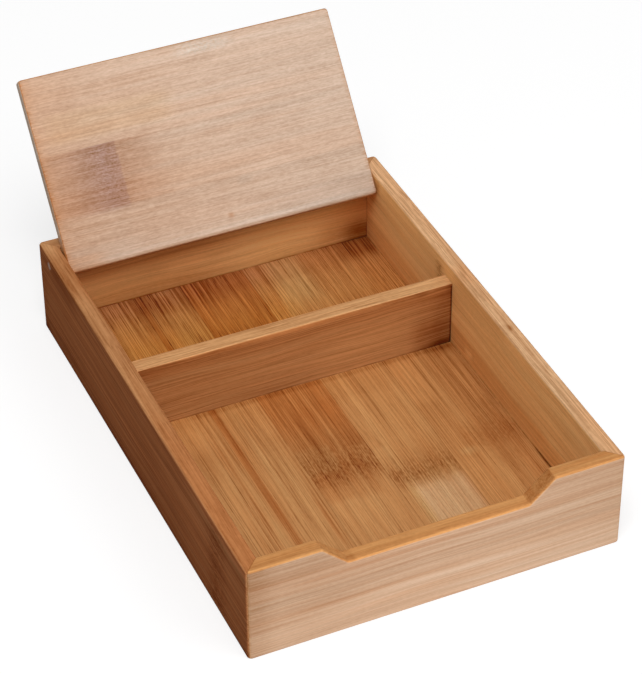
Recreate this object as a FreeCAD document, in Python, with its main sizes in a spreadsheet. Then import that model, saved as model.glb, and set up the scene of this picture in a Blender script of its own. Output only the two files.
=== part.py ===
import FreeCAD, Part
import os
from FreeCAD import Placement, Rotation, Vector
import Sketcher

# Bamboo memo holder: a mitred tray with a front paper bay, a rear bay and a lid that pivots on two pins.
# Millimetres. X runs left to right, Y front to back, Z up. The origin is the middle of the tray's underside,
# on the surface it rests on. The lid is drawn open, leaning back on the inner top edge of the back panel.

doc = FreeCAD.newDocument("MemoHolder")

# Driving dimensions: name, value, what it is

SIZES = [
    ("box_width", 130.0, "outer width of the tray, across X"),
    ("box_length", 186.0, "outer length of the tray, along Y"),
    ("box_height", 36.2, "height of the walls"),
    ("wall_thickness", 5.8, "thickness of the four walls"),
    ("corner_round", 1.5, "radius of the four upright outer corners"),
    ("rim_round", 0.9, "radius of the walls' top edges"),
    ("foot_round", 0.5, "radius of the walls' outer bottom edges"),
    ("floor_thickness", 5.2, "thickness of the floor board"),
    ("rebate_width", 3.0, "how far the floor's rebate cuts into the walls"),
    ("floor_gap", 0.2, "room for the floor board to swell inside its rebate"),
    ("paper_bay_depth", 104.8, "front bay, from front panel to divider"),
    ("divider_thickness", 5.8, "thickness of the divider"),
    ("divider_round", 0.4, "radius of the divider's top edges"),
    ("divider_end_gap", 0.15, "open joint at the divider's right end"),
    ("scoop_depth", 8.1, "depth of the finger scoop in the front panel"),
    ("scoop_top_width", 80.0, "width of the scoop at the rim"),
    ("scoop_bottom_width", 62.4, "width of the scoop at its bottom"),
    ("scoop_round", 1.6, "radius of the scoop's corners"),
    ("lid_thickness", 4.4, "thickness of the lid"),
    ("lid_recess", 1.0, "how far the closed lid lies below the rim"),
    ("lid_side_gap", 0.35, "gap between the lid and each side wall"),
    ("lid_rear_gap", 0.35, "gap between the closed lid and the back panel"),
    ("lid_overhang", 0.25, "how far the closed lid reaches past the divider's front face"),
    ("lid_corner_round", 1.2, "radius of the lid's corners in plan"),
    ("lid_edge_round", 0.8, "radius of the lid's long and short edges"),
    ("rest_gap", 0.1, "gap left where the lid meets the divider or the back panel"),
    ("pin_inset", 4.75, "from the lid's rear edge to the pin axis"),
    ("pin_radius", 0.8, "radius of the hinge pins' shank"),
    ("pin_clearance", 0.05, "radial running clearance of a pin in the lid"),
    ("pin_reach", 6.0, "how far a pin reaches into the lid"),
    ("pin_tip", 0.4, "length of the pin's tapered tip"),
    ("pin_end_gap", 0.5, "room beyond the pin's tip in the lid"),
    ("head_radius", 1.4, "radius of the pins' countersunk head"),
    ("head_depth", 0.8, "depth of the head's cone"),
    ("mitre_overrun", 2.0, "how far the cutting wedges reach past the frame"),
]

sizes = doc.addObject("Spreadsheet::Sheet", "Sizes")
for row, (name, value, meaning) in enumerate(SIZES, start=1):
    sizes.set("A%d" % row, name)
    sizes.set("B%d" % row, str(value))
    sizes.set("C%d" % row, meaning)
    sizes.setAlias("B%d" % row, name)
doc.recompute()

# Places that follow from the driving dimensions

LENGTHS = [
    ("inner_width", "Sizes.box_width - 2 * Sizes.wall_thickness"),
    ("inner_length", "Sizes.box_length - 2 * Sizes.wall_thickness"),
    ("front_face_y", "-Sizes.box_length / 2"),
    ("divider_y", "-Sizes.box_length / 2 + Sizes.wall_thickness + Sizes.paper_bay_depth"),
    ("lid_width", "Sizes.box_width - 2 * Sizes.wall_thickness - 2 * Sizes.lid_side_gap"),
    ("divider_top_z", "Sizes.box_height - Sizes.lid_recess - Sizes.lid_thickness - Sizes.rest_gap"),
    ("pivot_z", "Sizes.box_height - Sizes.lid_recess - Sizes.lid_thickness / 2"),
    ("pivot_y", "Sizes.box_length / 2 - Sizes.wall_thickness - Sizes.lid_rear_gap - Sizes.pin_inset"),
    ("stop_reach_y", "Sizes.pin_inset + Sizes.lid_rear_gap + Sizes.rim_round"),
    ("stop_reach_z", "Sizes.lid_recess + Sizes.lid_thickness / 2 - Sizes.rim_round"),
    ("stop_distance", "Sizes.lid_thickness / 2 + Sizes.rim_round + Sizes.rest_gap"),
]

layout = doc.addObject("App::VarSet", "Layout")
for name, formula in LENGTHS:
    layout.addProperty("App::PropertyDistance", name)
    layout.setExpression(name, "(%s) * 1 mm" % formula)

# The open lid leans on the rounded inner edge of the back panel. That edge's centre lies at (stop_reach_y,
# stop_reach_z) from the pin axis, and the lid's middle plane passes it at stop_distance.

layout.addProperty("App::PropertyAngle", "open_angle")
layout.setExpression(
    "open_angle",
    "180 deg - asin(stop_distance / sqrt(stop_reach_y ^ 2 + stop_reach_z ^ 2))"
    " - atan2(stop_reach_z; stop_reach_y)",
)
doc.recompute()


def size(name):
    return float(sizes.get(name))


def place(name):
    return getattr(layout, name).Value


def value_of(formula):
    """The number a size formula gives, for a sketch's first drawing."""
    return float(FreeCAD.Units.Quantity(layout.evalExpression("(%s) * 1 mm" % formula)).Value)


# Sketch helpers

def origin_plane(body, role):
    return [item for item in body.Origin.OriginFeatures if item.Role == role][0]


def new_body(label):
    body = doc.addObject("PartDesign::Body", label)
    body.Label = label
    return body


def new_sketch(body, name, role):
    sketch = body.newObject("Sketcher::SketchObject", name)
    sketch.AttachmentSupport = [(origin_plane(body, role), "")]
    sketch.MapMode = "FlatFace"
    return sketch


def draw_outline(sketch, corners):
    """Closed outline through corners, each a pair of size formulas that hold it from the sketch's origin."""
    points = [Vector(value_of(x), value_of(y), 0) for x, y in corners]
    first = sketch.GeometryCount
    count = len(points)
    for index in range(count):
        following = points[(index + 1) % count]
        sketch.addGeometry(Part.LineSegment(points[index], following), False)
    for index in range(count):
        following = first + (index + 1) % count
        sketch.addConstraint(Sketcher.Constraint("Coincident", first + index, 2, following, 1))
    for index, (x, y) in enumerate(corners):
        line = first + index
        for kind, formula, amount in (("DistanceX", x, points[index].x), ("DistanceY", y, points[index].y)):
            number = sketch.addConstraint(Sketcher.Constraint(kind, -1, 1, line, 1, amount))
            sketch.setExpression("Constraints[%d]" % number, "(%s) * 1 mm" % formula)


def rectangle(low_x, high_x, low_y, high_y):
    return [(low_x, low_y), (high_x, low_y), (high_x, high_y), (low_x, high_y)]


def centred(width, length):
    half_width = "(%s) / 2" % width
    half_length = "(%s) / 2" % length
    return rectangle("-" + half_width, half_width, "-" + half_length, half_length)


def add_pad(body, sketch, name, length, both_ways=False, reverse=False):
    pad = body.newObject("PartDesign::Pad", name)
    pad.Profile = sketch
    pad.setExpression("Length", "(%s) * 1 mm" % length)
    pad.Reversed = reverse
    if both_ways:
        pad.SideType = "Symmetric"
    doc.recompute()
    return pad


def add_pocket(body, sketch, name, length, reverse):
    before = body.Shape.Volume
    pocket = body.newObject("PartDesign::Pocket", name)
    pocket.Profile = sketch
    pocket.setExpression("Length", "(%s) * 1 mm" % length)
    pocket.Reversed = reverse
    doc.recompute()
    if body.Shape.Volume >= before:
        raise RuntimeError(name + " cuts nothing")
    return pocket


def add_groove(body, sketch, name):
    before = body.Shape.Volume
    groove = body.newObject("PartDesign::Groove", name)
    groove.Profile = sketch
    groove.ReferenceAxis = (sketch, ["H_Axis"])
    groove.Angle = 360.0
    doc.recompute()
    if body.Shape.Volume >= before:
        raise RuntimeError(name + " cuts nothing")
    return groove


def add_fillet(body, name, radius, chosen):
    """Round the edges of the body for which chosen(edge) is true."""
    base = body.Tip
    names = ["Edge%d" % (index + 1) for index, edge in enumerate(base.Shape.Edges) if chosen(edge)]
    if not names:
        raise RuntimeError(name + " finds no edges")
    fillet = body.newObject("PartDesign::Fillet", name)
    fillet.Base = (base, names)
    fillet.setExpression("Radius", "(%s) * 1 mm" % radius)
    doc.recompute()
    return fillet


# Edge tests

NEAR = 1e-4


def spans(edge, axis):
    box = edge.BoundBox
    return {"x": box.XLength, "y": box.YLength, "z": box.ZLength}[axis]


def is_upright(edge):
    return spans(edge, "x") < NEAR and spans(edge, "y") < NEAR


def is_level(edge, height):
    box = edge.BoundBox
    return abs(box.ZMin - height) < NEAR and abs(box.ZMax - height) < NEAR


def lies_along_x(edge):
    return spans(edge, "y") < NEAR and spans(edge, "z") < NEAR


def lies_along_y(edge):
    return spans(edge, "x") < NEAR and spans(edge, "z") < NEAR


def lies_along_y_in_scoop(edge):
    middle = edge.CenterOfMass
    return lies_along_y(edge) and abs(middle.x) < size("scoop_top_width") / 2 + size("scoop_round")


def lies_in_plane_y(edge, y):
    box = edge.BoundBox
    return abs(box.YMin - y) < NEAR and abs(box.YMax - y) < NEAR


# The pin: a countersunk brad, drawn as a half section along X. The same outline, with its own radius, makes
# the hole that it fills in the wall and the bore that it runs in.

def pin_section(sketch, side, shank_radius, tip_x, tip_length, tip_radius):
    outer = "Sizes.box_width / 2"
    cone_end = "(%s - Sizes.head_depth)" % outer
    tip_start = "(%s + %s)" % (tip_x, tip_length)
    corners = [
        (outer, "0"),
        (outer, "Sizes.head_radius"),
        (cone_end, shank_radius),
        (tip_start, shank_radius),
        (tip_x, tip_radius),
        (tip_x, "0"),
    ]
    draw_outline(sketch, [("%s * (%s)" % (side, x), y) for x, y in corners])


def set_on_pivot(sketch):
    sketch.setExpression("AttachmentOffset.Base.y", "Layout.pivot_y")
    sketch.setExpression("AttachmentOffset.Base.z", "Layout.pivot_z")


PIN_TIP_X = "(Layout.lid_width / 1 mm / 2 - Sizes.pin_reach)"
SIDES = (("left", "-1"), ("right", "1"))


# The glued-up frame, rounded over as one ring before it is parted at the mitres

def make_frame():
    body = new_body("frame_ring")

    ring = new_sketch(body, "ring_plan", "XY_Plane")
    draw_outline(ring, centred("Sizes.box_width", "Sizes.box_length"))
    draw_outline(ring, centred("Layout.inner_width / 1 mm", "Layout.inner_length / 1 mm"))
    add_pad(body, ring, "ring", "Sizes.box_height")

    rebate = new_sketch(body, "rebate_plan", "XY_Plane")
    rebate_size = "Layout.inner_%s / 1 mm + 2 * Sizes.rebate_width"
    draw_outline(rebate, centred(rebate_size % "width", rebate_size % "length"))
    add_pocket(body, rebate, "rebate", "Sizes.floor_thickness", True)

    scoop = new_sketch(body, "scoop_front", "XZ_Plane")
    scoop.setExpression("AttachmentOffset.Base.z", "-Layout.front_face_y")
    top = "(Sizes.box_height + Sizes.mitre_overrun)"
    slope = "(Sizes.scoop_top_width - Sizes.scoop_bottom_width) / 2 / Sizes.scoop_depth"
    half_top = "(Sizes.scoop_top_width / 2 + %s * Sizes.mitre_overrun)" % slope
    half_bottom = "Sizes.scoop_bottom_width / 2"
    bottom = "(Sizes.box_height - Sizes.scoop_depth)"
    corners = [("-" + half_bottom, bottom), (half_bottom, bottom), (half_top, top), ("-" + half_top, top)]
    draw_outline(scoop, corners)
    add_pocket(body, scoop, "scoop", "Sizes.wall_thickness + Sizes.mitre_overrun", False)
    return body


def round_frame(body):
    half_width = size("box_width") / 2
    half_length = size("box_length") / 2
    height = size("box_height")

    def outer_corner(edge):
        middle = edge.CenterOfMass
        on_corner = abs(abs(middle.x) - half_width) < NEAR and abs(abs(middle.y) - half_length) < NEAR
        return is_upright(edge) and on_corner

    def scoop_corner(edge):
        middle = edge.CenterOfMass
        in_scoop = abs(middle.x) < size("scoop_top_width") / 2 + NEAR
        return lies_along_y(edge) and in_scoop and middle.y < 0 and middle.z > size("floor_thickness") + NEAR

    def rim_edge(edge):
        box = edge.BoundBox
        on_top = is_level(edge, height) and not lies_along_y_in_scoop(edge)
        front_out = lies_in_plane_y(edge, -half_length)
        front_in = lies_in_plane_y(edge, -half_length + size("wall_thickness"))
        along_scoop = (front_out or front_in) and box.ZMin > height - size("scoop_depth") - NEAR
        return on_top or (along_scoop and not is_upright(edge))

    def foot_edge(edge):
        middle = edge.CenterOfMass
        inside = abs(middle.x) < half_width - size("corner_round") / 2
        inside = inside and abs(middle.y) < half_length - size("corner_round") / 2
        return is_level(edge, 0) and not inside

    add_fillet(body, "corners", "Sizes.corner_round", outer_corner)
    add_fillet(body, "scoop_corners", "Sizes.scoop_round", scoop_corner)
    add_fillet(body, "rim", "Sizes.rim_round", rim_edge)
    add_fillet(body, "feet", "Sizes.foot_round", foot_edge)


def bore_frame(body):
    for side, sign in SIDES:
        sketch = new_sketch(body, "pin_hole_%s" % side, "XY_Plane")
        set_on_pivot(sketch)
        inner_x = "(Layout.inner_width / 1 mm / 2 - Sizes.mitre_overrun)"
        radius = "Sizes.pin_radius"
        end_step = "Sizes.mitre_overrun / 2"
        pin_section(sketch, sign, radius, inner_x, end_step, radius)
        add_groove(body, sketch, "pin_hole_cut_%s" % side)


# Wedges that part the frame at its mitres

def mitre_wedge(name, width, length, turn):
    """A wedge over the wall at -Y after a turn of the frame about Z, with faces at 45 degrees."""
    wedge = doc.addObject("Part::Wedge", name)
    over = "Sizes.mitre_overrun"
    outer = "%s / 2 + %s" % (width, over)
    inner = "%s / 2 - Sizes.wall_thickness - %s" % (width, over)
    bounds = {
        "Xmin": "-(%s)" % outer,
        "Xmax": outer,
        "X2min": "-(%s)" % inner,
        "X2max": inner,
        "Ymin": "-(%s / 2 + %s)" % (length, over),
        "Ymax": "-(%s / 2 - Sizes.wall_thickness - %s)" % (length, over),
        "Zmin": "-" + over,
        "Zmax": "Sizes.box_height + " + over,
        "Z2min": "-" + over,
        "Z2max": "Sizes.box_height + " + over,
    }
    for prop, formula in bounds.items():
        wedge.setExpression(prop, "(%s) * 1 mm" % formula)
    wedge.Placement = Placement(Vector(0, 0, 0), Rotation(Vector(0, 0, 1), turn))
    return wedge


def make_wall(label, frame, width, length, turn):
    wall = doc.addObject("Part::Common", label)
    wall.Label = label
    wall.Base = frame
    wall.Tool = mitre_wedge(label + "_wedge", width, length, turn)
    doc.recompute()
    return wall


def make_floor():
    body = new_body("floor_panel")
    plan = new_sketch(body, "floor_plan", "XY_Plane")
    room = "2 * Sizes.rebate_width - 2 * Sizes.floor_gap"
    width = "Layout.inner_width / 1 mm + %s" % room
    length = "Layout.inner_length / 1 mm + %s" % room
    draw_outline(plan, centred(width, length))
    add_pad(body, plan, "board", "Sizes.floor_thickness")
    return body


def make_divider():
    body = new_body("divider")
    body.setExpression("Placement.Base.z", "Sizes.floor_thickness * 1 mm")
    plan = new_sketch(body, "divider_plan", "XY_Plane")
    left = "-Layout.inner_width / 1 mm / 2"
    right = "Layout.inner_width / 1 mm / 2 - Sizes.divider_end_gap"
    front = "Layout.divider_y / 1 mm"
    draw_outline(plan, rectangle(left, right, front, front + " + Sizes.divider_thickness"))
    rise = "Layout.divider_top_z / 1 mm - Sizes.floor_thickness"
    add_pad(body, plan, "board_on_edge", rise)
    top = value_of(rise)

    def top_edge(edge):
        return is_level(edge, top) and lies_along_x(edge)

    add_fillet(body, "top_edges", "Sizes.divider_round", top_edge)
    return body


# The lid is drawn closed, about its pin axis, and placed open

def make_lid():
    body = new_body("lid")
    plan = new_sketch(body, "lid_plan", "XY_Plane")
    half_width = "Layout.lid_width / 1 mm / 2"
    reach = "(Layout.pivot_y / 1 mm - Layout.divider_y / 1 mm + Sizes.lid_overhang)"
    draw_outline(plan, rectangle("-" + half_width, half_width, "-" + reach, "Sizes.pin_inset"))
    add_pad(body, plan, "board", "Sizes.lid_thickness", both_ways=True)
    half_thickness = size("lid_thickness") / 2
    add_fillet(body, "lid_corners", "Sizes.lid_corner_round", is_upright)

    def face_edge(edge):
        return is_level(edge, half_thickness) or is_level(edge, -half_thickness)

    add_fillet(body, "lid_edges", "Sizes.lid_edge_round", face_edge)
    for side, sign in SIDES:
        bore = new_sketch(body, "bore_%s" % side, "XY_Plane")
        mouth = "(Layout.lid_width / 1 mm / 2 + Sizes.lid_side_gap)"
        bottom = "(Layout.lid_width / 1 mm / 2 - Sizes.pin_reach - Sizes.pin_end_gap)"
        radius = "(Sizes.pin_radius + Sizes.pin_clearance)"
        corners = rectangle(bottom, mouth, "0", radius)
        draw_outline(bore, [("%s * (%s)" % (sign, x), y) for x, y in corners])
        add_groove(body, bore, "bore_cut_%s" % side)
    body.setExpression("Placement.Base.y", "Layout.pivot_y")
    body.setExpression("Placement.Base.z", "Layout.pivot_z")
    body.Placement.Rotation = Rotation(Vector(-1, 0, 0), place("open_angle"))
    body.setExpression("Placement.Rotation.Angle", "Layout.open_angle")
    return body


def make_pin(side, sign):
    body = new_body("hinge_pin_" + side)
    section = new_sketch(body, "pin_section_" + side, "XY_Plane")
    set_on_pivot(section)
    pin_section(section, sign, "Sizes.pin_radius", PIN_TIP_X, "Sizes.pin_tip", "Sizes.pin_radius / 2")
    turned = body.newObject("PartDesign::Revolution", "turned_" + side)
    turned.Profile = section
    turned.ReferenceAxis = (section, ["H_Axis"])
    turned.Angle = 360.0
    doc.recompute()
    return body


# Assembly

frame = make_frame()
round_frame(frame)
bore_frame(frame)

parts = [
    make_wall("front_panel", frame, "Sizes.box_width", "Sizes.box_length", 0),
    make_wall("right_side", frame, "Sizes.box_length", "Sizes.box_width", 90),
    make_wall("back_panel", frame, "Sizes.box_width", "Sizes.box_length", 180),
    make_wall("left_side", frame, "Sizes.box_length", "Sizes.box_width", 270),
    make_floor(),
    make_divider(),
    make_lid(),
]
parts += [make_pin(side, sign) for side, sign in SIDES]
doc.recompute()

# Every object has to be sound before anything is written

for item in doc.Objects:
    if "Invalid" in item.State or "Error" in item.State:
        raise RuntimeError("%s is %s" % (item.Label, item.State))
for item in parts:
    if item.Shape.isNull() or not item.Shape.isValid():
        raise RuntimeError(item.Label + " has no sound shape")

os.makedirs("parts", exist_ok=True)
for item in parts:
    item.Shape.exportStep("parts/%s.step" % item.Label)
    box = item.Shape.BoundBox
    print("%-16s %9.1f mm3  z %.2f to %.2f" % (item.Label, item.Shape.Volume, box.ZMin, box.ZMax))
print("pivot y %.3f z %.3f, open angle %.3f" % (place("pivot_y"), place("pivot_z"), place("open_angle")))
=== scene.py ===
import math

import bpy
from mathutils import Matrix, Vector

# A bamboo memo holder on a pale floor: the CAD nodes keep their shapes and get procedural bamboo materials.

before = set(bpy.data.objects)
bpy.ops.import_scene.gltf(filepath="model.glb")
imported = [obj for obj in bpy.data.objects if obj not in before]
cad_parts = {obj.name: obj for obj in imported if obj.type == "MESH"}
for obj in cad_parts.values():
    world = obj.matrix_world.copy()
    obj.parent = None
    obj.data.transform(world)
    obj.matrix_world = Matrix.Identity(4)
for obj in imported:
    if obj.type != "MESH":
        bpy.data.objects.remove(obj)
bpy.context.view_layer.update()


def srgb(red, green, blue):
    """A colour written as 0 to 255 sRGB, in the linear values that Blender uses."""
    linear = []
    for value in (red, green, blue):
        part = value / 255
        linear.append(part / 12.92 if part <= 0.04045 else ((part + 0.055) / 1.055) ** 2.4)
    return (*linear, 1.0)


# Camera, solved from the straight edges of the object in the photograph. Metres and degrees.

CAMERA_AT = (-0.282106, -0.635045, 0.581213)
CAMERA_AZIMUTH = 24.064
CAMERA_ELEVATION = 37.967
CAMERA_ROLL = -0.347
FOCAL_PIXELS = 2660.5
IMAGE_WIDTH = 642
SENSOR_WIDTH = 36.0
CLIP_START, CLIP_END = 0.01, 20.0


def add_camera():
    data = bpy.data.cameras.new("camera")
    data.sensor_fit = "HORIZONTAL"
    data.sensor_width = SENSOR_WIDTH
    data.lens = SENSOR_WIDTH * FOCAL_PIXELS / IMAGE_WIDTH
    data.clip_start = CLIP_START
    data.clip_end = CLIP_END
    camera = bpy.data.objects.new("camera", data)
    bpy.context.scene.collection.objects.link(camera)
    camera.matrix_world = (
        Matrix.Translation(CAMERA_AT)
        @ Matrix.Rotation(math.radians(-CAMERA_AZIMUTH), 4, "Z")
        @ Matrix.Rotation(math.radians(90 - CAMERA_ELEVATION), 4, "X")
        @ Matrix.Rotation(math.radians(CAMERA_ROLL), 4, "Z")
    )
    bpy.context.scene.camera = camera


# Light: name, azimuth from the front towards the right, elevation, distance, width, height, power.
# Degrees, metres and watts.

LAMPS = (
    ("low_front", 0, -0.15, 1.8, 0.9, 0.02, 17),
    ("key", 35, 45, 1.8, 1.0, 1.0, 6),
    ("high_left", -30, 65, 1.8, 0.8, 0.8, 16),
)
LAMP_AIM = (0, 0, 0.02)
WORLD_STRENGTH = 0.28


def add_lamps():
    for name, azimuth, elevation, distance, width, height, power in LAMPS:
        turn, rise = math.radians(azimuth), math.radians(elevation)
        away = Vector((math.sin(turn) * math.cos(rise), -math.cos(turn) * math.cos(rise), math.sin(rise)))
        data = bpy.data.lights.new(name, "AREA")
        data.shape = "RECTANGLE"
        data.size = width
        data.size_y = height
        data.energy = power
        lamp = bpy.data.objects.new(name, data)
        bpy.context.scene.collection.objects.link(lamp)
        lamp.location = Vector(LAMP_AIM) + away * distance
        lamp.rotation_euler = (-away).to_track_quat("-Z", "Y").to_euler()


# Nodes of a material

class Nodes:
    """Adds nodes to a tree and gives back their sockets, so that formulas read from the inside out."""

    def __init__(self, tree):
        self.tree = tree

    def node(self, kind, inputs, output=0, **settings):
        node = self.tree.nodes.new(kind)
        for name, value in settings.items():
            setattr(node, name, value)
        for key, value in inputs.items():
            self.put(node.inputs[key], value)
        return node.outputs[output]

    def put(self, socket, value):
        if isinstance(value, bpy.types.NodeSocket):
            self.tree.links.new(value, socket)
        elif isinstance(value, tuple):
            socket.default_value = value[:len(socket.default_value)]
        else:
            socket.default_value = value

    def math(self, operation, a, b=0.0, c=0.0, clamp=False):
        return self.node("ShaderNodeMath", {0: a, 1: b, 2: c}, operation=operation, use_clamp=clamp)

    def add(self, first, *others):
        for other in others:
            first = self.math("ADD", first, other)
        return first

    def times(self, first, *others):
        for other in others:
            first = self.math("MULTIPLY", first, other)
        return first

    def less(self, a, b):
        return self.math("SUBTRACT", a, b)

    def span(self, value, low, high, to_low=0.0, to_high=1.0):
        """A smooth step: to_low below low, to_high above high."""
        keys = {"Value": value, "From Min": low, "From Max": high, "To Min": to_low, "To Max": to_high}
        return self.node("ShaderNodeMapRange", keys, interpolation_type="SMOOTHSTEP")

    def between(self, value, low, high, soft=0.2):
        """1 from low to high and 0 outside."""
        return self.times(self.span(value, low - soft, low + soft), self.span(value, high - soft, high + soft, 1, 0))

    def profile(self, value, points, reach=0.5):
        """A curve through points of (value, height), heights within plus and minus reach."""
        low, high = points[0][0], points[-1][0]
        share = self.math("DIVIDE", self.less(value, low), high - low, clamp=True)
        ramp = self.tree.nodes.new("ShaderNodeValToRGB")
        self.put(ramp.inputs[0], share)
        stops = ramp.color_ramp.elements
        while len(stops) < len(points):
            stops.new(0.5)
        for stop, (place, height) in zip(stops, points):
            stop.position = (place - low) / (high - low)
        for stop, (place, height) in zip(stops, points):
            grey = 0.5 + 0.5 * height / reach
            stop.color = (grey, grey, grey, 1)
        return self.math("MULTIPLY_ADD", ramp.outputs["Color"], 2 * reach, -reach)

    def mix(self, share, a, b):
        return self.node("ShaderNodeMix", {0: share, 6: a, 7: b}, output=2, data_type="RGBA")

    def vector(self, x, y, z):
        return self.node("ShaderNodeCombineXYZ", {0: x, 1: y, 2: z})

    def vector_math(self, operation, a, b, c=(0, 0, 0)):
        return self.node("ShaderNodeVectorMath", {0: a, 1: b, 2: c}, operation=operation)

    def dot(self, vector, axis):
        return self.node("ShaderNodeVectorMath", {0: vector, 1: axis}, output="Value", operation="DOT_PRODUCT")

    def noise(self, vector, detail=2.0, roughness=0.5):
        keys = {"Vector": vector, "Scale": 1.0, "Detail": detail, "Roughness": roughness}
        return self.node("ShaderNodeTexNoise", keys)


# Studio floor and world: white to the camera and in reflections, dim as a source of light on the object

STAGE_HALF = 4.0
STAGE_ROUGHNESS = 0.9
STAGE_SEEN = 0.45
STAGE_GLOW = 0.66
STAGE_BOUNCE = 0.12


def seen_directly(nodes):
    path = nodes.tree.nodes.new("ShaderNodeLightPath")
    either = nodes.math("MAXIMUM", path.outputs["Is Camera Ray"], path.outputs["Is Glossy Ray"])
    return nodes.math("MAXIMUM", either, path.outputs["Is Transmission Ray"])


def add_world():
    world = bpy.data.worlds.new("studio")
    bpy.context.scene.world = world
    world.use_nodes = True
    nodes = Nodes(world.node_tree)
    background = world.node_tree.nodes["Background"]
    background.inputs["Color"].default_value = (1, 1, 1, 1)
    seen = seen_directly(nodes)
    nodes.put(background.inputs["Strength"], nodes.math("MULTIPLY_ADD", seen, 1 - WORLD_STRENGTH, WORLD_STRENGTH))


def add_floor():
    corners = [(x * STAGE_HALF, y * STAGE_HALF, 0) for x, y in ((-1, -1), (1, -1), (1, 1), (-1, 1))]
    mesh = bpy.data.meshes.new("studio_floor")
    mesh.from_pydata(corners, [], [(0, 1, 2, 3)])
    floor = bpy.data.objects.new("studio_floor", mesh)
    bpy.context.scene.collection.objects.link(floor)
    material = bpy.data.materials.new("studio_floor")
    material.use_nodes = True
    nodes = Nodes(material.node_tree)
    surface = material.node_tree.nodes["Principled BSDF"]
    seen = seen_directly(nodes)
    tone = nodes.math("MULTIPLY_ADD", seen, STAGE_SEEN - STAGE_BOUNCE, STAGE_BOUNCE)
    nodes.put(surface.inputs["Base Color"], nodes.vector(tone, tone, tone))
    surface.inputs["Roughness"].default_value = STAGE_ROUGHNESS
    surface.inputs["Specular IOR Level"].default_value = 0.0
    surface.inputs["Emission Color"].default_value = (1, 1, 1, 1)
    nodes.put(surface.inputs["Emission Strength"], nodes.times(seen, STAGE_GLOW))
    mesh.materials.append(material)


# The object's own measures, in millimetres as everything below

HALF_WIDTH = 65.0
HALF_LENGTH = 93.0
WALL_REACH = 6.2
FLOOR_TOP = 5.2
TOWARDS_FRONT, TOWARDS_BACK = (0, -1, 0), (0, 1, 0)
TOWARDS_LEFT, TOWARDS_RIGHT = (-1, 0, 0), (1, 0, 0)
UP = (0, 0, 1)
LID_ANGLE = math.radians(129.159)
LID_UP_ITS_FACE = (0, -math.cos(LID_ANGLE), math.sin(LID_ANGLE))
LID_THROUGH = (0, math.sin(LID_ANGLE), math.cos(LID_ANGLE))
LID_SEEN_FACE = tuple(-part for part in LID_THROUGH)
LID_DOWN_ITS_FACE = tuple(-part for part in LID_UP_ITS_FACE)
LID_PIVOT = (0, 82.1, 33.0)
LID_PIN_INSET = 4.75
LID_ZERO = sum(place * part for place, part in zip(LID_PIVOT, LID_UP_ITS_FACE)) - LID_PIN_INSET

# Bamboo. A board has its own directions: run along the fibres, cross across them and depth through it. The tone
# is changed by three shares: shade is lighter or darker, red takes green and blue out, yellow takes blue out.

DARKER_BY_CHANNEL = (1.0, 1.3, 1.6)
REDDER_BY_CHANNEL = (0.0, -0.55, -1.0)
DARKEST = (0.15, 0.12, 0.1)

# Cosines between a face and a direction, from which and up to which it comes to face that way
FACING, BROADLY_FACING, SHARPLY_FACING = (0.5, 0.9), (0.3, 0.6), (0.75, 0.97)

# Lengths along the fibres and widths across them of what the grain is made of
WAVE_LENGTH, WAVE_WIDTH = 45, 14
FIBRE_WIDTH = 0.40
HAIR_LENGTH_IN_FIBRES, HAIR_WIDTH = 1.8, 0.75
SPECK_LENGTH, SPECK_WIDTH = 1.6, 0.45
STREAK_LENGTH, STREAK_WIDTH = 130, 1.7
DRIFT_LENGTH, DRIFT_WIDTH = 110, 11
PORE_LENGTH, PORE_WIDTH = 7, 0.36
BLUSH_LENGTH, BLUSH_WIDTH, SLOW_BLUSH = 120, 3.5, 0.35
TEETH_LENGTH, TEETH_WIDTH = 9, 2.2
NODE_GRIT_LENGTH, NODE_GRIT_WIDTH = 2.2, 0.6
MOTTLE_LENGTH, MOTTLE_WIDTH = 1.1, 0.8
GLUE_LINE = (0.05, 0.3)
MITRE_LINE, MITRE_DEPTH = (0.05, 0.35), 0.22
# Painted contact shade at the foot of a face, where it meets the floor board
FOOT_LINE, FOOT_DEPTH, FOOT_UNEVEN_LENGTH = (0.2, 0.7), 0.36, 5
# How much lighter rounded edges are painted: a painted highlight
EDGE_HIGHLIGHT = 0.06
BUMP_STRENGTH, BUMP_DISTANCE = 0.35, 0.00006


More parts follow.
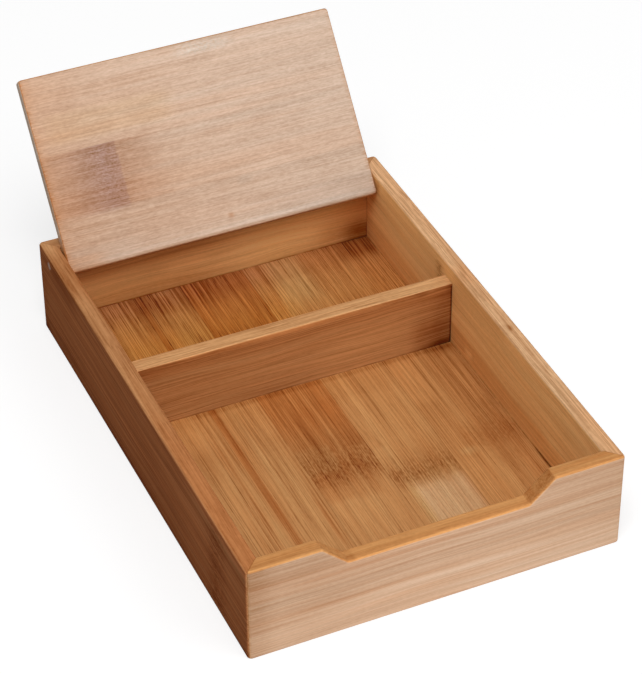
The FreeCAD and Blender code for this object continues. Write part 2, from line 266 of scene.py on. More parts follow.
class Bamboo(Nodes):
    def __init__(self, name, seed, along, across, through, wave=1.2):
        self.material = bpy.data.materials.new(name)
        self.material.use_nodes = True
        super().__init__(self.material.node_tree)
        self.surface = self.tree.nodes["Principled BSDF"]
        self.seed = seed
        here = self.node("ShaderNodeTexCoord", {}, output="Object")
        self.normal = self.node("ShaderNodeTexCoord", {}, output="Normal")
        self.spot = self.node("ShaderNodeVectorMath", {0: here, "Scale": 1000.0}, operation="SCALE")
        self.run = self.dot(self.spot, along)
        self.cross = self.dot(self.spot, across)
        self.depth = self.dot(self.spot, through)
        self.shift = 0.0
        waves = self.flecks(WAVE_LENGTH, WAVE_WIDTH, self.times(self.depth, 1 / WAVE_WIDTH))
        self.bend = self.times(self.less(waves, 0.5), wave * 4)
        # Areas and lines are summed apart from the grain, as one long sum overfills Cycles' shader memory
        self.shade = self.red = self.yellow = 0.0
        self.area_shade = self.area_red = 0.0
        self.line_shade = self.line_red = 0.0

    def flecks(self, length, width, third, detail=2.0, roughness=0.5):
        """Noise drawn out along the fibres, which doesn't follow their waves. A third place is its own seed."""
        run, cross = self.times(self.run, 1 / length), self.times(self.cross, 1 / width)
        return self.noise(self.vector(run, cross, third), detail, roughness)

    def grain(self, length, width, salt, detail=2.0, roughness=0.5):
        """Noise drawn out along the fibres and waved with them, about 0.5 on average."""
        run = self.math("MULTIPLY_ADD", self.run, 1 / length, self.seed * 7.3 + salt)
        line = self.add(self.cross, self.bend)
        across = self.math("MULTIPLY_ADD", line, 1 / width, salt)
        if self.shift:
            across = self.add(across, self.shift)
        return self.noise(self.vector(run, across, self.times(self.depth, 1 / width)), detail, roughness)

    def darken(self, share):
        self.shade = self.less(self.shade, share)

    def lighten(self, share):
        self.shade = self.add(self.shade, share)

    def redden(self, share):
        self.red = self.add(self.red, share)

    def facing(self, direction, cosines=FACING):
        """1 on faces towards a direction."""
        return self.span(self.dot(self.normal, direction), *cosines)

    def foot(self, direction):
        """A dark, uneven line where a face towards a direction meets the floor board: painted contact shade."""
        uneven = self.noise(self.vector(self.times(self.run, 1 / FOOT_UNEVEN_LENGTH), 0.0, self.seed))
        line = self.span(self.cross, *(FLOOR_TOP + part for part in FOOT_LINE), 1, 0)
        self.darken(self.times(line, self.facing(direction), self.span(uneven, 0.3, 0.6, 0.4, 1.0), FOOT_DEPTH))

    def strips(self, seams, seam_shade):
        """Strips glued side by side: each has fibres of its own, with a fine dark glue line between them."""
        strip = 0.0
        for seam in seams:
            strip = self.add(strip, self.math("GREATER_THAN", self.cross, seam))
            gap = self.math("ABSOLUTE", self.less(self.cross, seam))
            uneven = self.span(self.grain(25, 5, 3.1), 0.35, 0.6)
            self.darken(self.times(self.span(gap, *GLUE_LINE, 1, 0), uneven, seam_shade))
        own = self.node("ShaderNodeTexWhiteNoise", {"W": self.math("ADD", strip, self.seed)}, noise_dimensions="1D")
        self.shift = self.times(own, 60)

    def fibres(self, fine, streak, drift, pores, hairs, length, blush=0.2, grit=0.1):
        """The grain: fine fibres of a length, dark hairs, specks, streaks, slow drifts of tone, pores and blushes."""
        self.fine = self.span(self.grain(length, FIBRE_WIDTH, 11.0, detail=1.0, roughness=0.4), 0.3, 0.7)
        hair = self.grain(HAIR_LENGTH_IN_FIBRES * length, HAIR_WIDTH, 19.0, detail=1.0)
        self.darken(self.times(self.span(hair, 0.57, 0.66), hairs))
        specks = self.flecks(SPECK_LENGTH, SPECK_WIDTH, self.depth, detail=1.0)
        self.lighten(self.times(self.less(specks, 0.5), grit * 2))
        broad = self.grain(STREAK_LENGTH, STREAK_WIDTH, 23.0, detail=3.0, roughness=0.55)
        slow = self.grain(DRIFT_LENGTH, DRIFT_WIDTH, 37.0)
        dashes = self.grain(PORE_LENGTH, PORE_WIDTH, 51.0, detail=0.0)
        self.pore = self.span(dashes, 0.64, 0.8)
        self.lighten(self.times(self.less(self.fine, 0.5), fine))
        self.lighten(self.times(self.less(broad, 0.5), streak))
        self.lighten(self.times(self.less(slow, 0.5), drift))
        self.darken(self.times(self.pore, pores))
        self.redden(self.times(self.less(0.5, broad), blush))
        self.redden(self.times(self.less(self.grain(BLUSH_LENGTH, BLUSH_WIDTH, 67.0), 0.5), SLOW_BLUSH))

    def teeth(self):
        return self.flecks(TEETH_LENGTH, TEETH_WIDTH, self.seed, 3.0, 0.6)

    def node_band(self, at, before, after, low, high, depth, red=0.0, ragged=7.0, speckle=0.5):
        """A node of the culm across the strip from low to high: a darker band with a ragged, speckled edge."""
        place = self.add(self.run, self.math("MULTIPLY_ADD", self.teeth(), ragged, -at - ragged / 2))
        body = self.times(self.span(place, -before, 0), self.span(place, 0, after, 1, 0),
                          self.between(self.cross, low, high))
        grit = self.flecks(NODE_GRIT_LENGTH, NODE_GRIT_WIDTH, self.seed, 2.0, 0.6)
        body = self.times(body, self.span(grit, 0.36, 0.64, 1 - speckle, 1 + speckle))
        self.darken(self.times(body, depth))
        if red:
            self.redden(self.times(body, red))

    def area(self, run, cross, lift, red, soft, yellow=0.0, mottle=0.0, ragged=0.0):
        """An area lighter or, with a negative lift, darker. Its reach and its softness go along and across."""
        along = self.run
        if ragged:
            along = self.add(along, self.math("MULTIPLY_ADD", self.teeth(), 2 * ragged, -ragged))
        body = self.times(self.between(along, *run, soft[0]), self.between(self.cross, *cross, soft[1]))
        if mottle:
            grit = self.flecks(MOTTLE_LENGTH, MOTTLE_WIDTH, self.seed, 2.0, 0.6)
            body = self.times(body, self.span(grit, 0.38, 0.62, 1 - mottle, 1 + mottle))
        if yellow:
            self.yellow = self.math("MULTIPLY_ADD", body, yellow, self.yellow)
        if mottle or ragged:
            self.lighten(self.times(body, lift))
            self.redden(self.times(body, red))
        else:
            self.area_shade = self.math("MULTIPLY_ADD", body, lift, self.area_shade)
            self.area_red = self.math("MULTIPLY_ADD", body, red, self.area_red)

    def areas(self, rows):
        for row in rows:
            self.area(*row)

    def line(self, at, width, depth, start, end, red=0.0, soft=12.0):
        """A dark grain line along the fibres."""
        off = self.math("ABSOLUTE", self.less(self.cross, at))
        body = self.times(self.span(off, width * 0.2, width, 1, 0), self.between(self.run, start, end, soft))
        self.line_shade = self.math("MULTIPLY_ADD", body, -depth, self.line_shade)
        self.line_red = self.math("MULTIPLY_ADD", body, red, self.line_red)

    def lines(self, rows):
        for row in rows:
            self.line(*row)

    def mitres(self):
        """A fine dark joint line where two walls meet at a corner."""
        ax, ay = (self.math("ABSOLUTE", self.dot(self.spot, axis)) for axis in ((1, 0, 0), (0, 1, 0)))
        off = self.math("ABSOLUTE", self.less(self.add(ax, HALF_LENGTH - HALF_WIDTH), ay))
        near = self.math("GREATER_THAN", self.add(ax, WALL_REACH), HALF_WIDTH)
        self.darken(self.times(self.span(off, *MITRE_LINE, 1, 0), near, MITRE_DEPTH))

    def finish(self, tone, faces=(), top=None, roughness=0.6, specular=0.1):
        """Puts the tone, with its own ones for some faces and for the top, and all that was added on the surface."""
        colour = srgb(*tone)
        for direction, face_tone in faces:
            colour = self.mix(self.facing(direction, SHARPLY_FACING), colour, srgb(*face_tone))
        if top:
            colour = self.mix(self.facing(UP, BROADLY_FACING), colour, srgb(*top))
        uneven = self.span(self.grain(30, 2.0, 71.0), 0.2, 0.6, 0.5, 1.1)
        self.lighten(self.add(self.area_shade, self.times(self.line_shade, uneven)))
        self.redden(self.add(self.area_red, self.times(self.line_red, uneven)))
        size = self.node("ShaderNodeVectorMath", {0: self.normal}, operation="ABSOLUTE")
        parts = self.tree.nodes.new("ShaderNodeSeparateXYZ")
        self.put(parts.inputs[0], size)
        flat = self.math("MAXIMUM", self.math("MAXIMUM", parts.outputs[0], parts.outputs[1]), parts.outputs[2])
        # Painted highlight: rounded edges are lighter, as where they catch the light
        edge_highlight = self.times(self.span(flat, 0.80, 0.97, 1, 0), self.span(self.grain(9, 3, 5.0), 0.35, 0.65))
        self.lighten(self.times(edge_highlight, EDGE_HIGHLIGHT))
        shaded = self.vector_math("MULTIPLY_ADD", self.shade, DARKER_BY_CHANNEL, (1, 1, 1))
        shaded = self.vector_math("MAXIMUM", shaded, DARKEST)
        hue = self.vector_math("MULTIPLY_ADD", self.red, REDDER_BY_CHANNEL, (1, 1, 1))
        hue = self.vector_math("MULTIPLY", hue, self.vector(1.0, 1.0, self.less(1.0, self.yellow)))
        colour = self.vector_math("MULTIPLY", self.vector_math("MULTIPLY", colour, shaded), hue)
        self.put(self.surface.inputs["Base Color"], colour)
        rough = self.math("MULTIPLY_ADD", self.less(self.fine, 0.5), 0.1, roughness)
        self.put(self.surface.inputs["Roughness"], rough)
        self.surface.inputs["Specular IOR Level"].default_value = specular
        height = self.less(self.times(self.fine, 0.3), self.times(self.pore, 0.5))
        keys = {"Strength": BUMP_STRENGTH, "Distance": BUMP_DISTANCE, "Height": height}
        self.put(self.surface.inputs["Normal"], self.node("ShaderNodeBump", keys))
        return self.material


# Some rows and profiles hold painted light and shade instead; the comments at them say so.
# The boards. Their tables hold places and tones of single features of the wood.
# Lines: where across the fibres, width, depth of tone, from, to along the fibres, red, softness of the ends.
# Areas: (from, to) along the fibres, (from, to) across them, lift, red, softness along and across, yellow,
# mottle, ragged. Profiles: place, and what is added there.

FRONT_LINES = (
    (10.6, 0.7, 0.06, -65, -20, 0.08),
    (13.6, 0.6, 0.10, -50, 10, 0.08),
    (17.6, 0.9, 0.06, -35, 50, 0.08),
    (20.5, 0.8, 0.07, -70, 70, 0.08),
    (25.0, 0.8, 0.06, -50, 40, 0.08),
    (4.0, 0.6, 0.05, -70, 0, 0.08),
)
FRONT_LIFT_BY_HEIGHT = ((0, 0.06), (8, 0.06), (14, -0.02), (32, -0.06), (36, -0.10))
FRONT_LIFT_ALONG = ((-65, -0.04), (-42, -0.05), (-25, 0.02), (-5, 0.06), (20, 0.05), (40, 0.0), (65, -0.05))


def front_panel():
    wood = Bamboo("bamboo_front_panel", 1.0, (1, 0, 0), (0, 0, 1), (0, 1, 0), wave=0.6)
    wood.fibres(fine=0.12, streak=0.36, drift=0.2, pores=0.05, blush=0.5, hairs=0.05, length=40)
    wood.lines(FRONT_LINES)
    # Lighter low down and darker towards the rim: partly painted light and shade
    wood.lighten(wood.profile(wood.cross, FRONT_LIFT_BY_HEIGHT))
    wood.darken(wood.times(wood.facing(TOWARDS_FRONT), wood.span(wood.run, -64, -53, 0.18, 0)))
    wood.lighten(wood.times(wood.facing(TOWARDS_FRONT), wood.profile(wood.run, FRONT_LIFT_ALONG)))
    # The scoop's slanted ends show end grain; the right one, which faces left, is darker and browner with painted
    # shade
    sideways = wood.math("ABSOLUTE", wood.dot(wood.normal, TOWARDS_RIGHT))
    slant = wood.times(wood.span(sideways, *BROADLY_FACING), wood.span(wood.cross, 27, 29),
                       wood.facing(UP, BROADLY_FACING))
    wood.darken(wood.times(slant, wood.span(wood.run, -5, 5, 0.04, 0.22)))
    corner = wood.between(wood.run, -31.4, -28.6, 1)
    wood.darken(wood.times(wood.facing(UP), corner, wood.span(wood.cross, 30.5, 29, 0, 0.15)))
    wood.mitres()
    # The front face's paler, pinker tone is partly the board's own and partly painted sheen
    return wood.finish((207, 160, 118), ((TOWARDS_FRONT, (202, 163, 132)),), top=(212, 149, 89))


BACK_LINES = (
    (17.5, 0.6, 0.12, -30, 60),
    (21.0, 0.8, 0.10, -60, 10),
    (11.5, 0.5, 0.10, -10, 60),
)
BACK_AREAS = (
    ((0, 45), (-5, 40), 0.16, -0.16, (14, 1)),
    # Painted shade in the low right corner by the right wall
    ((51, 70), (0, 13), -0.4, 0.05, (5, 4)),
    ((-20, -4), (12, 18), 0.12, 0.0, (5, 2)),
    ((18, 50), (0, 6.4), -0.14, 0.05, (6, 1)),
    ((41, 60), (8, 15), -0.13, 0.1, (5, 1.5)),
)
BACK_LIFT_BY_HEIGHT = (
    (5, -0.22), (7, -0.12), (11, -0.04), (14, 0.08), (17, 0.14), (19.5, 0.06), (22, -0.1), (36, -0.1))


def back_panel():
    wood = Bamboo("bamboo_back_panel", 2.0, (1, 0, 0), (0, 0, 1), (0, 1, 0))
    wood.fibres(fine=0.10, streak=0.4, drift=0.25, pores=0.05, hairs=0.08, length=36)
    wood.lines(BACK_LINES)
    wood.areas(BACK_AREAS)
    # Painted shade on the inside face: darker at the foot and at the top under the open lid, lighter in between
    wood.lighten(wood.times(wood.facing(TOWARDS_FRONT), wood.profile(wood.cross, BACK_LIFT_BY_HEIGHT)))
    wood.foot(TOWARDS_FRONT)
    wood.mitres()
    # The inside face's paler tone is partly the board's own and partly painted light, making up for the shade inside
    # the box
    return wood.finish((208, 152, 104), ((TOWARDS_FRONT, (231, 172, 108)),), top=(196, 140, 92))


LEFT_AREAS = (
    ((-71.5, -68.5), (9.5, 12.5), 0.2, 0.0, (1.0, 1.0)),
    # Painted shade of the open lid towards the back of the top
    ((60, 84), (29, 40), -0.08, 0.06, (6, 2)),
    # Lighter towards the front: painted light
    ((-93, -42), (-5, 40), 0.08, 0.0, (12, 1)),
)
LEFT_LIFT_BY_HEIGHT = (
    (0, -0.4), (1.6, -0.4), (3.4, 0.0), (12, 0.02), (20, 0.07), (27, 0.1), (30, 0.02), (36, 0.0))
LEFT_TOP_LIFT_ALONG = ((-93, -0.02), (-15, -0.02), (0, 0.0), (52, 0.02), (64, 0.0), (80, 0.06), (93, 0.44))
LEFT_TOP_RED_ALONG = ((-93, 0.2), (-28, 0.16), (-8, 0.0), (50, -0.08), (64, 0.0), (80, -0.08), (93, -0.25))


def left_side():
    wood = Bamboo("bamboo_left_side", 3.0, (0, 1, 0), (0, 0, 1), (1, 0, 0))
    outside = wood.facing(TOWARDS_LEFT)
    fine = wood.math("MULTIPLY_ADD", outside, 0.14, 0.18)
    wood.fibres(fine=fine, streak=0.7, drift=0.6, pores=0.12, hairs=0.16, length=36)
    wood.node_band(-68.0, 11, 10, 2, 34, 0.22, red=0.06, ragged=12, speckle=0.8)
    wood.areas(LEFT_AREAS)
    # The upper front corner, lighter: painted light
    wood.lighten(wood.times(outside, wood.span(wood.run, -60, -30, 1, 0), wood.span(wood.cross, 31, 34, 0, 0.25)))
    # Painted contact shade at the bottom of the outside face, and painted light higher up
    wood.lighten(wood.times(outside, wood.profile(wood.cross, LEFT_LIFT_BY_HEIGHT)))
    # Painted contact shade along the foot towards the back, a darker back corner and rim towards the back, and a
    # lighter middle
    wood.darken(wood.times(outside, wood.span(wood.run, 46, 62), wood.between(wood.cross, 2.5, 6.5, 1), 0.22))
    wood.darken(wood.times(outside, wood.span(wood.run, 84, 90), wood.span(wood.cross, 22, 30, 1, 0), 0.15))
    wood.darken(wood.times(outside, wood.between(wood.run, 57, 81, 6), wood.span(wood.cross, 29, 31), 0.2))
    wood.lighten(wood.times(outside, wood.between(wood.run, 0, 60, 10), wood.between(wood.cross, 12, 25, 3), 0.07))
    # A lighter, less red band below the rim towards the front: painted light
    rim = wood.times(outside, wood.span(wood.run, -60, -36, 1, 0), wood.between(wood.cross, 30.2, 33, 0.6))
    wood.lighten(wood.times(rim, 0.18))
    wood.redden(wood.times(rim, -0.2))
    top = wood.facing(UP)
    wood.lighten(wood.times(top, wood.profile(wood.run, LEFT_TOP_LIFT_ALONG)))
    wood.redden(wood.times(top, wood.profile(wood.run, LEFT_TOP_RED_ALONG)))
    wood.mitres()
    # The outside face's darker tone is partly the board's own and partly painted shade
    return wood.finish((196, 136, 90), ((TOWARDS_LEFT, (174, 104, 61)),), top=(187, 126, 79),
                       roughness=0.8, specular=0.02)


RIGHT_TOP_LIFT_ALONG = (
    (-93, -0.14), (-78, -0.05), (-40, -0.04), (0, 0.02), (25, 0.04), (34, 0.1), (46, 0.1), (54, 0.05), (93, 0.08))


def right_side():
    wood = Bamboo("bamboo_right_side", 4.0, (0, 1, 0), (0, 0, 1), (1, 0, 0))
    top = wood.facing(UP)
    inside = wood.facing(TOWARDS_LEFT)
    fine = wood.math("MULTIPLY_ADD", top, 0.25, 0.14)
    wood.fibres(fine=fine, streak=0.36, drift=0.3, pores=0.06, hairs=0.08, length=36)
    # The inside is redder below a waved line and paler above it
    height = wood.add(wood.cross, wood.times(wood.bend, 0.4))
    low = wood.times(inside, wood.span(height, 13.2, 15.2, 1, 0))
    wood.redden(wood.times(low, 0.16))
    wood.darken(wood.times(low, 0.06))
    wood.lighten(wood.times(inside, wood.span(height, 13.2, 22.2), 0.07))
    wood.area((1.5, 6.5), (7.5, 11), 0.14, -0.1, (1.5, 1))
    wood.node_band(28.0, 4, 4, 26, 33, 0.25, ragged=4, speckle=0.8)
    # Painted shadow in the gap by the lid's lower corner
    wood.area((76.5, 81.5), (30.5, 35), -0.3, 0.0, (1.5, 1.5))
    wood.area((-64, -46), (4, 5.9), -0.45, 0.0, (5, 0.3))
    wood.foot(TOWARDS_LEFT)
    wood.darken(wood.times(inside, wood.between(wood.run, -20, 16, 5), wood.span(wood.cross, 28, 35, 0, 0.14)))
    wood.area((-67, -52), (11, 17), 0.05, -0.06, (4, 1))
    # A small dark knot on the top, and redder stretches in its middle and towards the front
    knot = wood.math("ABSOLUTE", wood.add(wood.run, 19.0))
    wood.darken(wood.times(top, wood.span(knot, 0.3, 2.6, 1, 0), wood.between(wood.depth, 61.4, 63.2, 0.8), 0.3))
    redder = wood.math("ABSOLUTE", wood.less(wood.run, 14.0))
    wood.redden(wood.times(top, wood.span(redder, 2, 9, 1, 0), 0.12))
    wood.redden(wood.times(top, wood.span(wood.run, -75, -55, 0.14, 0)))
    wood.lighten(wood.times(top, wood.profile(wood.run, RIGHT_TOP_LIFT_ALONG)))
    wood.mitres()
    # The inside face's paler tone is partly the board's own and partly painted light, making up for the shade inside
    # the box
    return wood.finish((212, 160, 114), ((TOWARDS_LEFT, (240, 187, 121)),), top=(219, 169, 123))


FLOOR_SEAMS = (-39.2, -15.4, 8.8, 32.3, 55.8)
LEFT_STRIPS, SECOND_STRIP, THIRD_STRIP = (-60, -15.4), (-15.4, 8.8), (8.8, 32.3)
FLOOR_YELLOW_ALONG = (
    (-87, -0.04), (0, -0.02), (20, 0.05), (40, 0.2), (58, 0.27), (64, 0.18), (70, 0.12), (75, 0.03), (82, -0.2))
FLOOR_LIFT_ALONG = ((-87, 0.0), (20, 0.0), (50, -0.02), (87, -0.04))
LEFT_STRIP_LINES = (
    (-39.7, 0.4, 0.24, -62, -30, 0.2),
    (-38.0, 0.35, 0.22, -62, -40, 0.2),
    (-37.2, 0.6, 0.22, -50, 20, 0.1),
    (-31.9, 1.7, 0.19, -90, 90, 0.28),
    (-30.8, 0.5, 0.18, -90, 90, 0.1),
    (-27.4, 0.4, 0.2, -62, -35, 0.1),
    (-24.2, 0.5, 0.2, -50, 8, 0.1),
    (-18.2, 1.3, 0.15, -62, -38, 0.25),
    (-16.6, 0.5, 0.2, -62, 90, 0.1),
    (-44.8, 0.4, 0.16, -30, 20, 0.0),
    (-21.0, 0.4, 0.14, -10, 60, 0.0),
    (-34.6, 0.4, 0.16, 20, 90, 0.1),
)
SECOND_STRIP_AREAS = (
    ((-20, 6), (-8, 8.8), -0.08, 0.1, (5, 2)),
    ((-28, 90), SECOND_STRIP, -0.12, 0.10, (5, 0.1), 0.0, 0.0, 4),
    ((-8, 90), SECOND_STRIP, 0.06, 0.16, (10, 0.1)),
)
THIRD_STRIP_AREAS = (
    ((-26, 90), THIRD_STRIP, 0.09, -0.04, (6, 0.1)),
    ((60, 90), (17, 30), 0.05, -0.35, (8, 3)),
)
RIGHT_STRIP_AREAS = (
    ((-90, -42), (32.3, 46), 0.09, -0.03, (6, 0.6)),
    ((-39, -36), (36, 42), 0.10, -0.25, (2, 2)),
)
FLOOR_AREAS = (
    # Broad ones: painted shade along the right wall, a darker, redder rear bay behind the divider, partly painted
    # shade, and painted shade in the dark corners and at the foot of the divider
    ((-90, 90), (47, 60), -0.07, 0.03, (10, 3)),
    ((23, 90), (-60, 60), -0.06, 0.12, (3, 1)),
    ((77, 95), (46, 62), -0.34, 0.14, (4, 5)),
    ((13.5, 17.5), (50, 62), -0.28, 0.1, (3, 4)),
    ((-70, -50), (43, 54), 0.09, -0.05, (6, 3)),
    ((-64, -47), (58.7, 60), -0.4, 0.0, (4, 0.3)),
    ((45, 74), (44, 60), 0.13, 0.04, (5, 2)),
    ((42, 66), (-44, -26), 0.12, 0.1, (5, 2)),
    ((-2, 12), (-54, -38), 0.14, 0.0, (4, 4)),
    ((-75, -45), (52, 60), 0.08, 0.0, (6, 2)),
    ((15.2, 18), (-40, 60), -0.17, 0.05, (1, 3)),
    # The rear bay, with painted shade along the foot of the back wall first
    ((76, 92), (-60, 10), -0.16, -0.02, (5, 3)),
    ((58, 72), (-21, 3), 0.1, 0.0, (4, 1)),
    ((56, 70), (14, 20), 0.13, 0.03, (4, 0.5)),
    ((58, 75), (32, 47), 0.1, -0.03, (4, 1)),
    ((55, 73), (-52, -43), 0.1, 0.03, (3, 1)),
    ((74, 84), (-27, -21), -0.13, 0.08, (2, 0.6)),
    ((50, 68), (8.3, 14), 0.0, 0.14, (5, 0.5)),
    ((75, 86), (13, 32), -0.13, 0.03, (2, 1)),
    # The front bay, in front of the divider
    ((-3, 17), (-21, -16), 0.09, -0.03, (3, 0.4)),
    ((-9, 15), (32.4, 41), 0.15, 0.0, (3, 1)),
    ((-15, 4), (52.5, 57), 0.1, -0.02, (3, 0.6)),
    # The front bay, round the nodes and in front of them
    ((-44, -25), (-5, 4), -0.14, 0.12, (3, 0.8)),
    ((-43, -29), (-15.4, -5), -0.1, 0.12, (2, 0.5)),
    ((-29, -19), (3, 8.5), 0.1, -0.1, (2, 0.4)),
    ((-28, -15), (-15.4, -3), 0.04, -0.15, (2, 0.5)),
    ((-37, -24), (8.9, 14.5), 0.07, -0.1, (2, 0.4)),
    ((-47, -40), (13, 25), -0.1, 0.03, (1.5, 1)),
    ((-68, -46), (14, 32), 0.06, -0.08, (5, 1.5), -0.2),
    ((-56, -17), (-27, -22), -0.07, 0.04, (4, 0.6)),
    ((-45, -3), (-39, -27), -0.03, 0.08, (6, 1)),
    ((-22, 14), (57.5, 62), -0.17, 0.03, (4, 0.6)),
    ((4, 17), (0, 32), -0.06, 0.02, (3, 1)),
)


def floor_panel():
    wood = Bamboo("bamboo_floor_panel", 5.0, (0, 1, 0), (1, 0, 0), (0, 0, 1), wave=0.15)
    wood.strips(FLOOR_SEAMS, seam_shade=0.3)
    rear = wood.span(wood.run, 10, 45)
    fine, pores = wood.math("MULTIPLY_ADD", rear, 0.2, 0.27), wood.math("MULTIPLY_ADD", rear, 0.12, 0.16)
    wood.fibres(fine=fine, streak=0.55, drift=0.2, pores=pores, hairs=0.17, length=40)
    wood.yellow = wood.times(wood.profile(wood.run, FLOOR_YELLOW_ALONG), wood.span(wood.cross, 10, 25, 1, 0.35))
    # The strips by the left wall: tan, with long dark and red lines
    wood.area((-90, -10), LEFT_STRIPS, 0.05, -0.12, (14, 0.1))
    wood.lines(LEFT_STRIP_LINES)
    # The second strip: pale in front of its node, brown behind it
    wood.area((-90, -36), SECOND_STRIP, 0.08, -0.06, (5, 0.1), ragged=4)
    wood.node_band(-29.0, 12, 20, *SECOND_STRIP, 0.2, red=0.06, ragged=9, speckle=0.75)
    wood.areas(SECOND_STRIP_AREAS)
    # The third strip: whitish in front of its node
    wood.area((-95, -44), (10.5, 31), 0.14, -0.34, (8, 3), mottle=0.15, ragged=5)
    wood.node_band(-40.5, 8, 12, *THIRD_STRIP, 0.2, ragged=12, speckle=0.75)
    wood.areas(THIRD_STRIP_AREAS)
    # The strips by the right wall
    wood.areas(RIGHT_STRIP_AREAS)
    wood.node_band(-33.0, 10, 12, 40, 60, 0.13, red=0.10, ragged=8, speckle=0.45)
    wood.areas(FLOOR_AREAS)
    wood.lighten(wood.profile(wood.run, FLOOR_LIFT_ALONG))
    return wood.finish((192, 133, 78), roughness=0.55)


DIVIDER_LIFT_ALONG = ((-60, -0.05), (-30, 0.0), (-5, 0.06), (25, 0.1), (42, 0.06), (50, -0.06), (60, -0.3))
DIVIDER_LIFT_BY_HEIGHT = ((5, 0.04), (9, 0.1), (12, 0.03), (20, 0.05), (24, 0.0), (27.5, -0.07), (29.5, -0.14))
DIVIDER_RED_BY_HEIGHT = ((5, -0.12), (9, -0.2), (13, -0.08), (20, -0.04), (24, 0.04), (27.5, 0.14), (29.5, 0.16))


def divider():
    wood = Bamboo("bamboo_divider", 6.0, (1, 0, 0), (0, 0, 1), (0, 1, 0), wave=1.0)
    wood.fibres(fine=0.28, streak=0.5, drift=0.2, pores=0.08, hairs=0.14, length=32)
    front = wood.facing(TOWARDS_FRONT)
    # Painted light and shade along the front face: lighter in the middle, darker towards the right end in the right
    # wall's shade
    wood.lighten(wood.times(front, wood.profile(wood.run, DIVIDER_LIFT_ALONG)))
    wood.lighten(wood.times(front, wood.profile(wood.cross, DIVIDER_LIFT_BY_HEIGHT)))
    wood.redden(wood.times(front, wood.profile(wood.cross, DIVIDER_RED_BY_HEIGHT)))
    # Painted shade across the top of the front face, behind the scoop, where the low front lamp shines through it
    wood.darken(wood.times(front, wood.between(wood.run, -34, 41, 5), wood.span(wood.cross, 28.4, 29.2, 0, 0.12)))
    # Its right end: darker and browner with painted shade from the right wall, pale at the top, with painted shade at
    # the foot, and dark in the open joint
    wood.area((45, 57), (4, 17), -0.17, 0.14, (4, 2))
    wood.lighten(wood.times(front, wood.between(wood.run, 49.5, 58, 2), wood.span(wood.cross, 27, 29), 0.2))
    wood.area((51, 62), (4, 8), -0.35, 0.0, (5, 2))
    wood.area((58.6, 62), (0, 29.5), -0.5, 0.0, (0.4, 0.5))
    wood.foot(TOWARDS_FRONT)
    wood.foot(TOWARDS_BACK)
    return wood.finish((190, 128, 80), ((TOWARDS_FRONT, (191, 131, 80)),), top=(211, 156, 104))


LID_SEAMS = (19.0, 41.4, 63.9)
LID_LIFT_ALONG = ((-59, 0.0), (-38, 0.03), (0, 0.08), (59, 0.10))
LID_RED_ALONG = ((-59, 0.18), (-38, 0.06), (0, -0.02), (59, -0.12))
LID_NODE_LIFT = (
    (-59, -0.05), (-50, -0.15), (-45, -0.24), (-41, -0.28), (-37, -0.32), (-31.6, -0.32), (-30.8, -0.20),
    (-26, -0.13), (-20, -0.06), (-14, 0.0))
LID_NODE_RED = (
    (-59, 0.06), (-50, 0.05), (-45, 0.0), (-41, -0.03), (-37, -0.07), (-31.6, 0.0), (-30.8, 0.08), (-26, 0.07),
    (-14, 0.0))
LID_NODE_YELLOW = (
    (-59, 0.0), (-50, -0.05), (-45, -0.1), (-41, -0.17), (-37, -0.25), (-31.6, -0.2), (-30.8, -0.03), (-14, 0.0))
LID_STRIP_AREAS = (
    ((-90, 90), (19, 41.4), -0.05, 0.0, (1, 0.3)),
    ((-90, 90), (63.9, 80), 0.05, 0.0, (1, 0.3)),
)
LID_AREAS = (
    ((-70, -49), (44, 64), 0.03, 0.0, (4, 3)),
    ((-70, -33), (-5, 19), 0.02, -0.04, (6, 1)),
    ((-33, 37), (3.0, 5.2), -0.10, 0.0, (5, 0.8)),
    ((-59, 59), (0.9, 3.0), 0.0, -0.1, (5, 0.5)),
    ((-70, -46), (0, 5), -0.03, 0.15, (4, 1)),
    ((-54, -8), (44.5, 55), 0.0, 0.03, (5, 2), 0.06),
    ((-90, 90), (19.2, 27), -0.02, 0.1, (1, 2)),
    ((0, 19), (64.6, 68.6), 0.0, -0.16, (4, 1.2), 0.0, 0.6),
)
LID_LINES = (
    (65.3, 0.5, 0.18, 3, 11, 0.0, 3),
    (46.2, 0.4, 0.1, -18, 20, 0.0, 6),
    (53.6, 0.4, 0.08, -10, 25, 0.0, 6),
)
LID_SPOTS = (
    ((2.4, 4.0), (5.0, 6.6), -0.14, 0.25, (0.8, 0.5)),
    ((9, 14), (15.5, 18), -0.08, -0.1, (1.5, 0.8)),
)


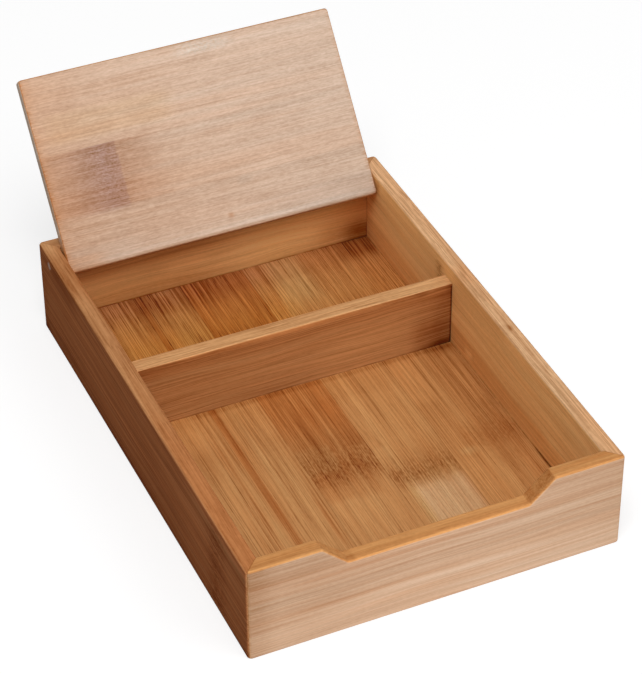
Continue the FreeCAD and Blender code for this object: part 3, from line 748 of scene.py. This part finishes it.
def lid():
    wood = Bamboo("bamboo_lid", 7.0, (1, 0, 0), LID_UP_ITS_FACE, LID_THROUGH, wave=0.12)
    wood.cross = wood.less(wood.cross, LID_ZERO)
    wood.strips(LID_SEAMS, seam_shade=0.06)
    wood.fibres(fine=0.14, streak=0.13, drift=0.1, pores=0.05, blush=0.06, hairs=0.04, length=30, grit=0.2)
    wood.lighten(wood.profile(wood.run, LID_LIFT_ALONG))
    wood.redden(wood.profile(wood.run, LID_RED_ALONG))
    wood.area((-90, 90), (-5, 19), -0.11, 0.0, (1, 0.3))
    # Painted light on the lower part of the face, where the low front lamp leaves it in the front wall's shade
    wood.lighten(wood.times(wood.span(wood.cross, 4, 12, 0.22, 0), wood.span(wood.run, -50, 0, 1, 0.68)))
    wood.areas(LID_STRIP_AREAS)
    # The culm's node: a mauve brown patch with a speckled core and a clear edge on the core's right
    place = wood.add(wood.run, wood.math("MULTIPLY_ADD", wood.flecks(6, 1.8, 3.0, 3.0, 0.6), 3.0, -1.5))
    patch = wood.times(wood.span(wood.cross, 16.6, 20.4), wood.span(wood.cross, 41.1, 41.7, 1, 0))
    wood.lighten(wood.times(patch, wood.profile(place, LID_NODE_LIFT)))
    wood.redden(wood.times(patch, wood.profile(place, LID_NODE_RED)))
    wood.yellow = wood.times(patch, wood.profile(place, LID_NODE_YELLOW))
    core = wood.times(wood.between(place, -43, -30, 3), wood.between(wood.cross, 21, 40.5, 1))
    wood.lighten(wood.times(core, wood.less(wood.flecks(0.8, 0.8, 2.0, 1.0), 0.5), 0.3))
    wood.areas(LID_AREAS)
    wood.lines(LID_LINES)
    wood.areas(LID_SPOTS)
    # Orange at the left end, with short brown ticks of end grain along both ends
    face = wood.facing(LID_SEEN_FACE)
    wood.redden(wood.times(face, wood.span(wood.run, -58.5, -54, 0.07, 0)))
    end = wood.times(face, wood.span(wood.math("ABSOLUTE", wood.run), 56.4, 58.6))
    tick_noise = wood.noise(wood.vector(wood.times(wood.run, 0.3), wood.times(wood.cross, 1.2), 0.0), 1.0)
    ticks = wood.span(tick_noise, 0.5, 0.66)
    wood.darken(wood.times(end, ticks, 0.12))
    wood.redden(wood.times(end, wood.math("MULTIPLY_ADD", ticks, 0.2, 0.04)))
    # The rounded lower edge, and the lower part of the left end, are darker and browner: painted shade
    lower = wood.math("MAXIMUM", wood.facing(LID_DOWN_ITS_FACE, (0.02, 0.4)),
                      wood.times(wood.span(wood.cross, 0.8, 1.8, 1, 0), 0.7))
    lower = wood.times(lower, wood.span(wood.run, -58, -25, 0.6, 1))
    wood.darken(wood.times(lower, 0.28))
    wood.redden(wood.times(lower, 0.24))
    wood.area((-8, 90), (66.8, 72), -0.06, 0.06, (5, 0.8))
    low_end = wood.times(wood.facing(TOWARDS_LEFT), wood.span(wood.cross, 4, 16, 1, 0))
    wood.darken(wood.times(low_end, 0.24))
    wood.redden(wood.times(low_end, 0.75))
    # The lid face's paler, pinker tone is partly the board's own and partly painted sheen
    return wood.finish((190, 140, 98), ((LID_SEEN_FACE, (190, 158, 134)), (TOWARDS_LEFT, (222, 204, 188))))


PIN_METALLIC = 0.9
PIN_GRAIN = (4000, 900, 900)
PIN_DARK, PIN_PALE = (92, 58, 36), (124, 82, 52)


def steel():
    """Browned steel with a fine brushed grain."""
    material = bpy.data.materials.new("brushed_steel")
    material.use_nodes = True
    nodes = Nodes(material.node_tree)
    surface = material.node_tree.nodes["Principled BSDF"]
    here = nodes.node("ShaderNodeTexCoord", {}, output="Object")
    fine = nodes.noise(nodes.vector_math("MULTIPLY", here, PIN_GRAIN), 3.0)
    nodes.put(surface.inputs["Base Color"], nodes.mix(fine, srgb(*PIN_DARK), srgb(*PIN_PALE)))
    surface.inputs["Metallic"].default_value = PIN_METALLIC
    surface.inputs["Specular IOR Level"].default_value = 0.1
    nodes.put(surface.inputs["Roughness"], nodes.math("MULTIPLY_ADD", fine, 0.2, 0.45))
    return material


def dress(name, material):
    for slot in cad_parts[name].material_slots:
        slot.link = "OBJECT"
        slot.material = material


bpy.context.scene.view_settings.view_transform = "Standard"
add_camera()
add_lamps()
add_world()
add_floor()

BOARDS = {
    "front_panel": front_panel,
    "back_panel": back_panel,
    "left_side": left_side,
    "right_side": right_side,
    "floor_panel": floor_panel,
    "divider": divider,
    "lid": lid,
}
for name, make in BOARDS.items():
    dress(name, make())
pin_steel = steel()
dress("hinge_pin_left", pin_steel)
dress("hinge_pin_right", pin_steel)
